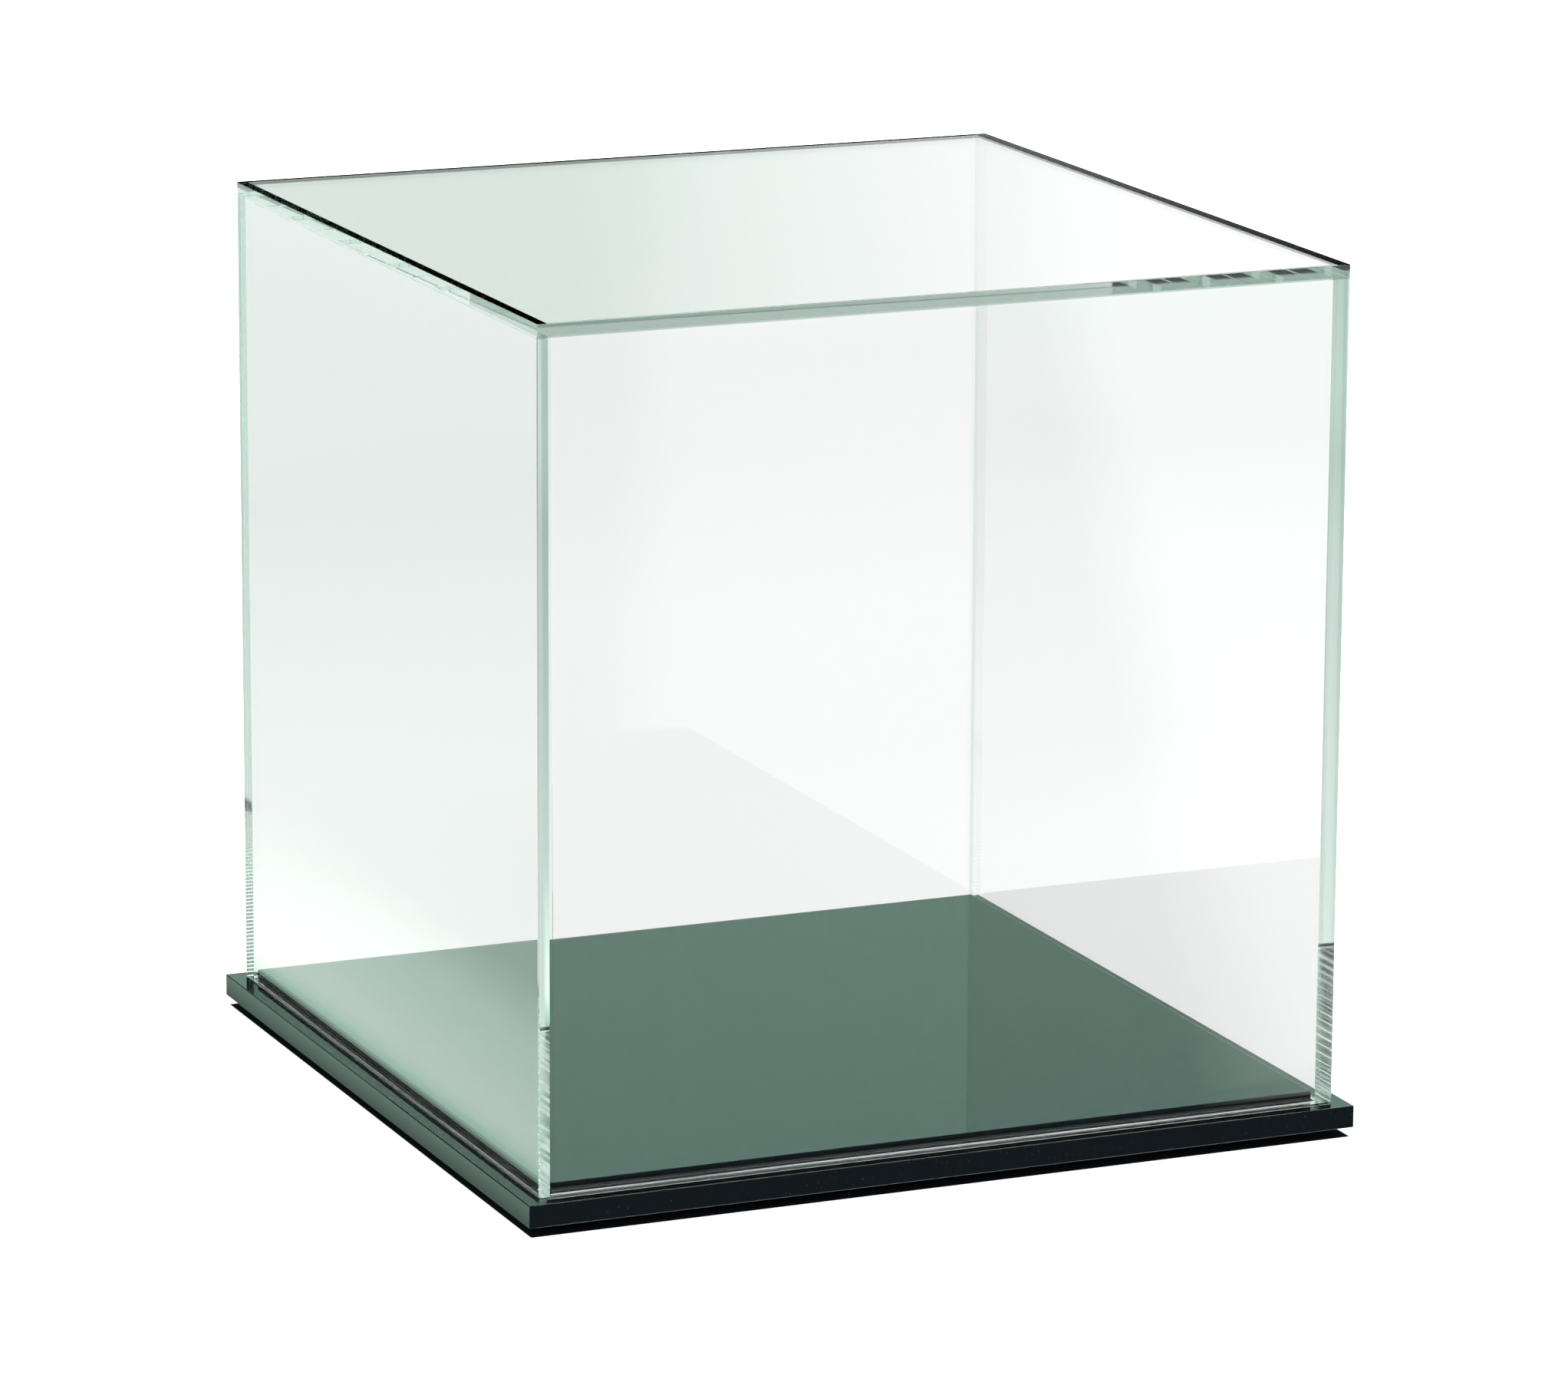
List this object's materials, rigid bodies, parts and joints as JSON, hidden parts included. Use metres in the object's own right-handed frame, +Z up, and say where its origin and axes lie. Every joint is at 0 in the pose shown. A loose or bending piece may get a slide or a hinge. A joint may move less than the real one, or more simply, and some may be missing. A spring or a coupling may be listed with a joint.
{
  "type": "acrylic display cube",
  "caption": "Clear acrylic display cube: a square lift-off cover that drops over a raised plate on a gloss black base with low bumper feet.",
  "frame": {"origin": "on the ground, under the middle of the object, in the plane that the four feet rest on", "axes": "+Z up, and the way the cover lifts off; -Y out of the front panel; -X out of the left panel"},
  "size_m": [0.312, 0.312, 0.3118],
  "materials": {
    "clear_acrylic": "clear cast acrylic sheet, polished edges with a grey-green tint",
    "black_acrylic": "high gloss black acrylic sheet",
    "foot_rubber": "matt moulded rubber"
  },
  "bodies": {
    "base": {"base_plate": "black_acrylic", "locating_plate": "black_acrylic", "foot_front_left": "foot_rubber", "foot_front_right": "foot_rubber", "foot_back_left": "foot_rubber", "foot_back_right": "foot_rubber"},
    "cover": {"top_panel": "clear_acrylic", "front_panel": "clear_acrylic", "back_panel": "clear_acrylic", "left_panel": "clear_acrylic", "right_panel": "clear_acrylic"}
  },
  "joints": [
    {"name": "cover_lift", "type": "slide", "parent": "base", "child": "cover", "axis": [0, 0, 1], "range_m": [0, 0.31]}
  ]
}
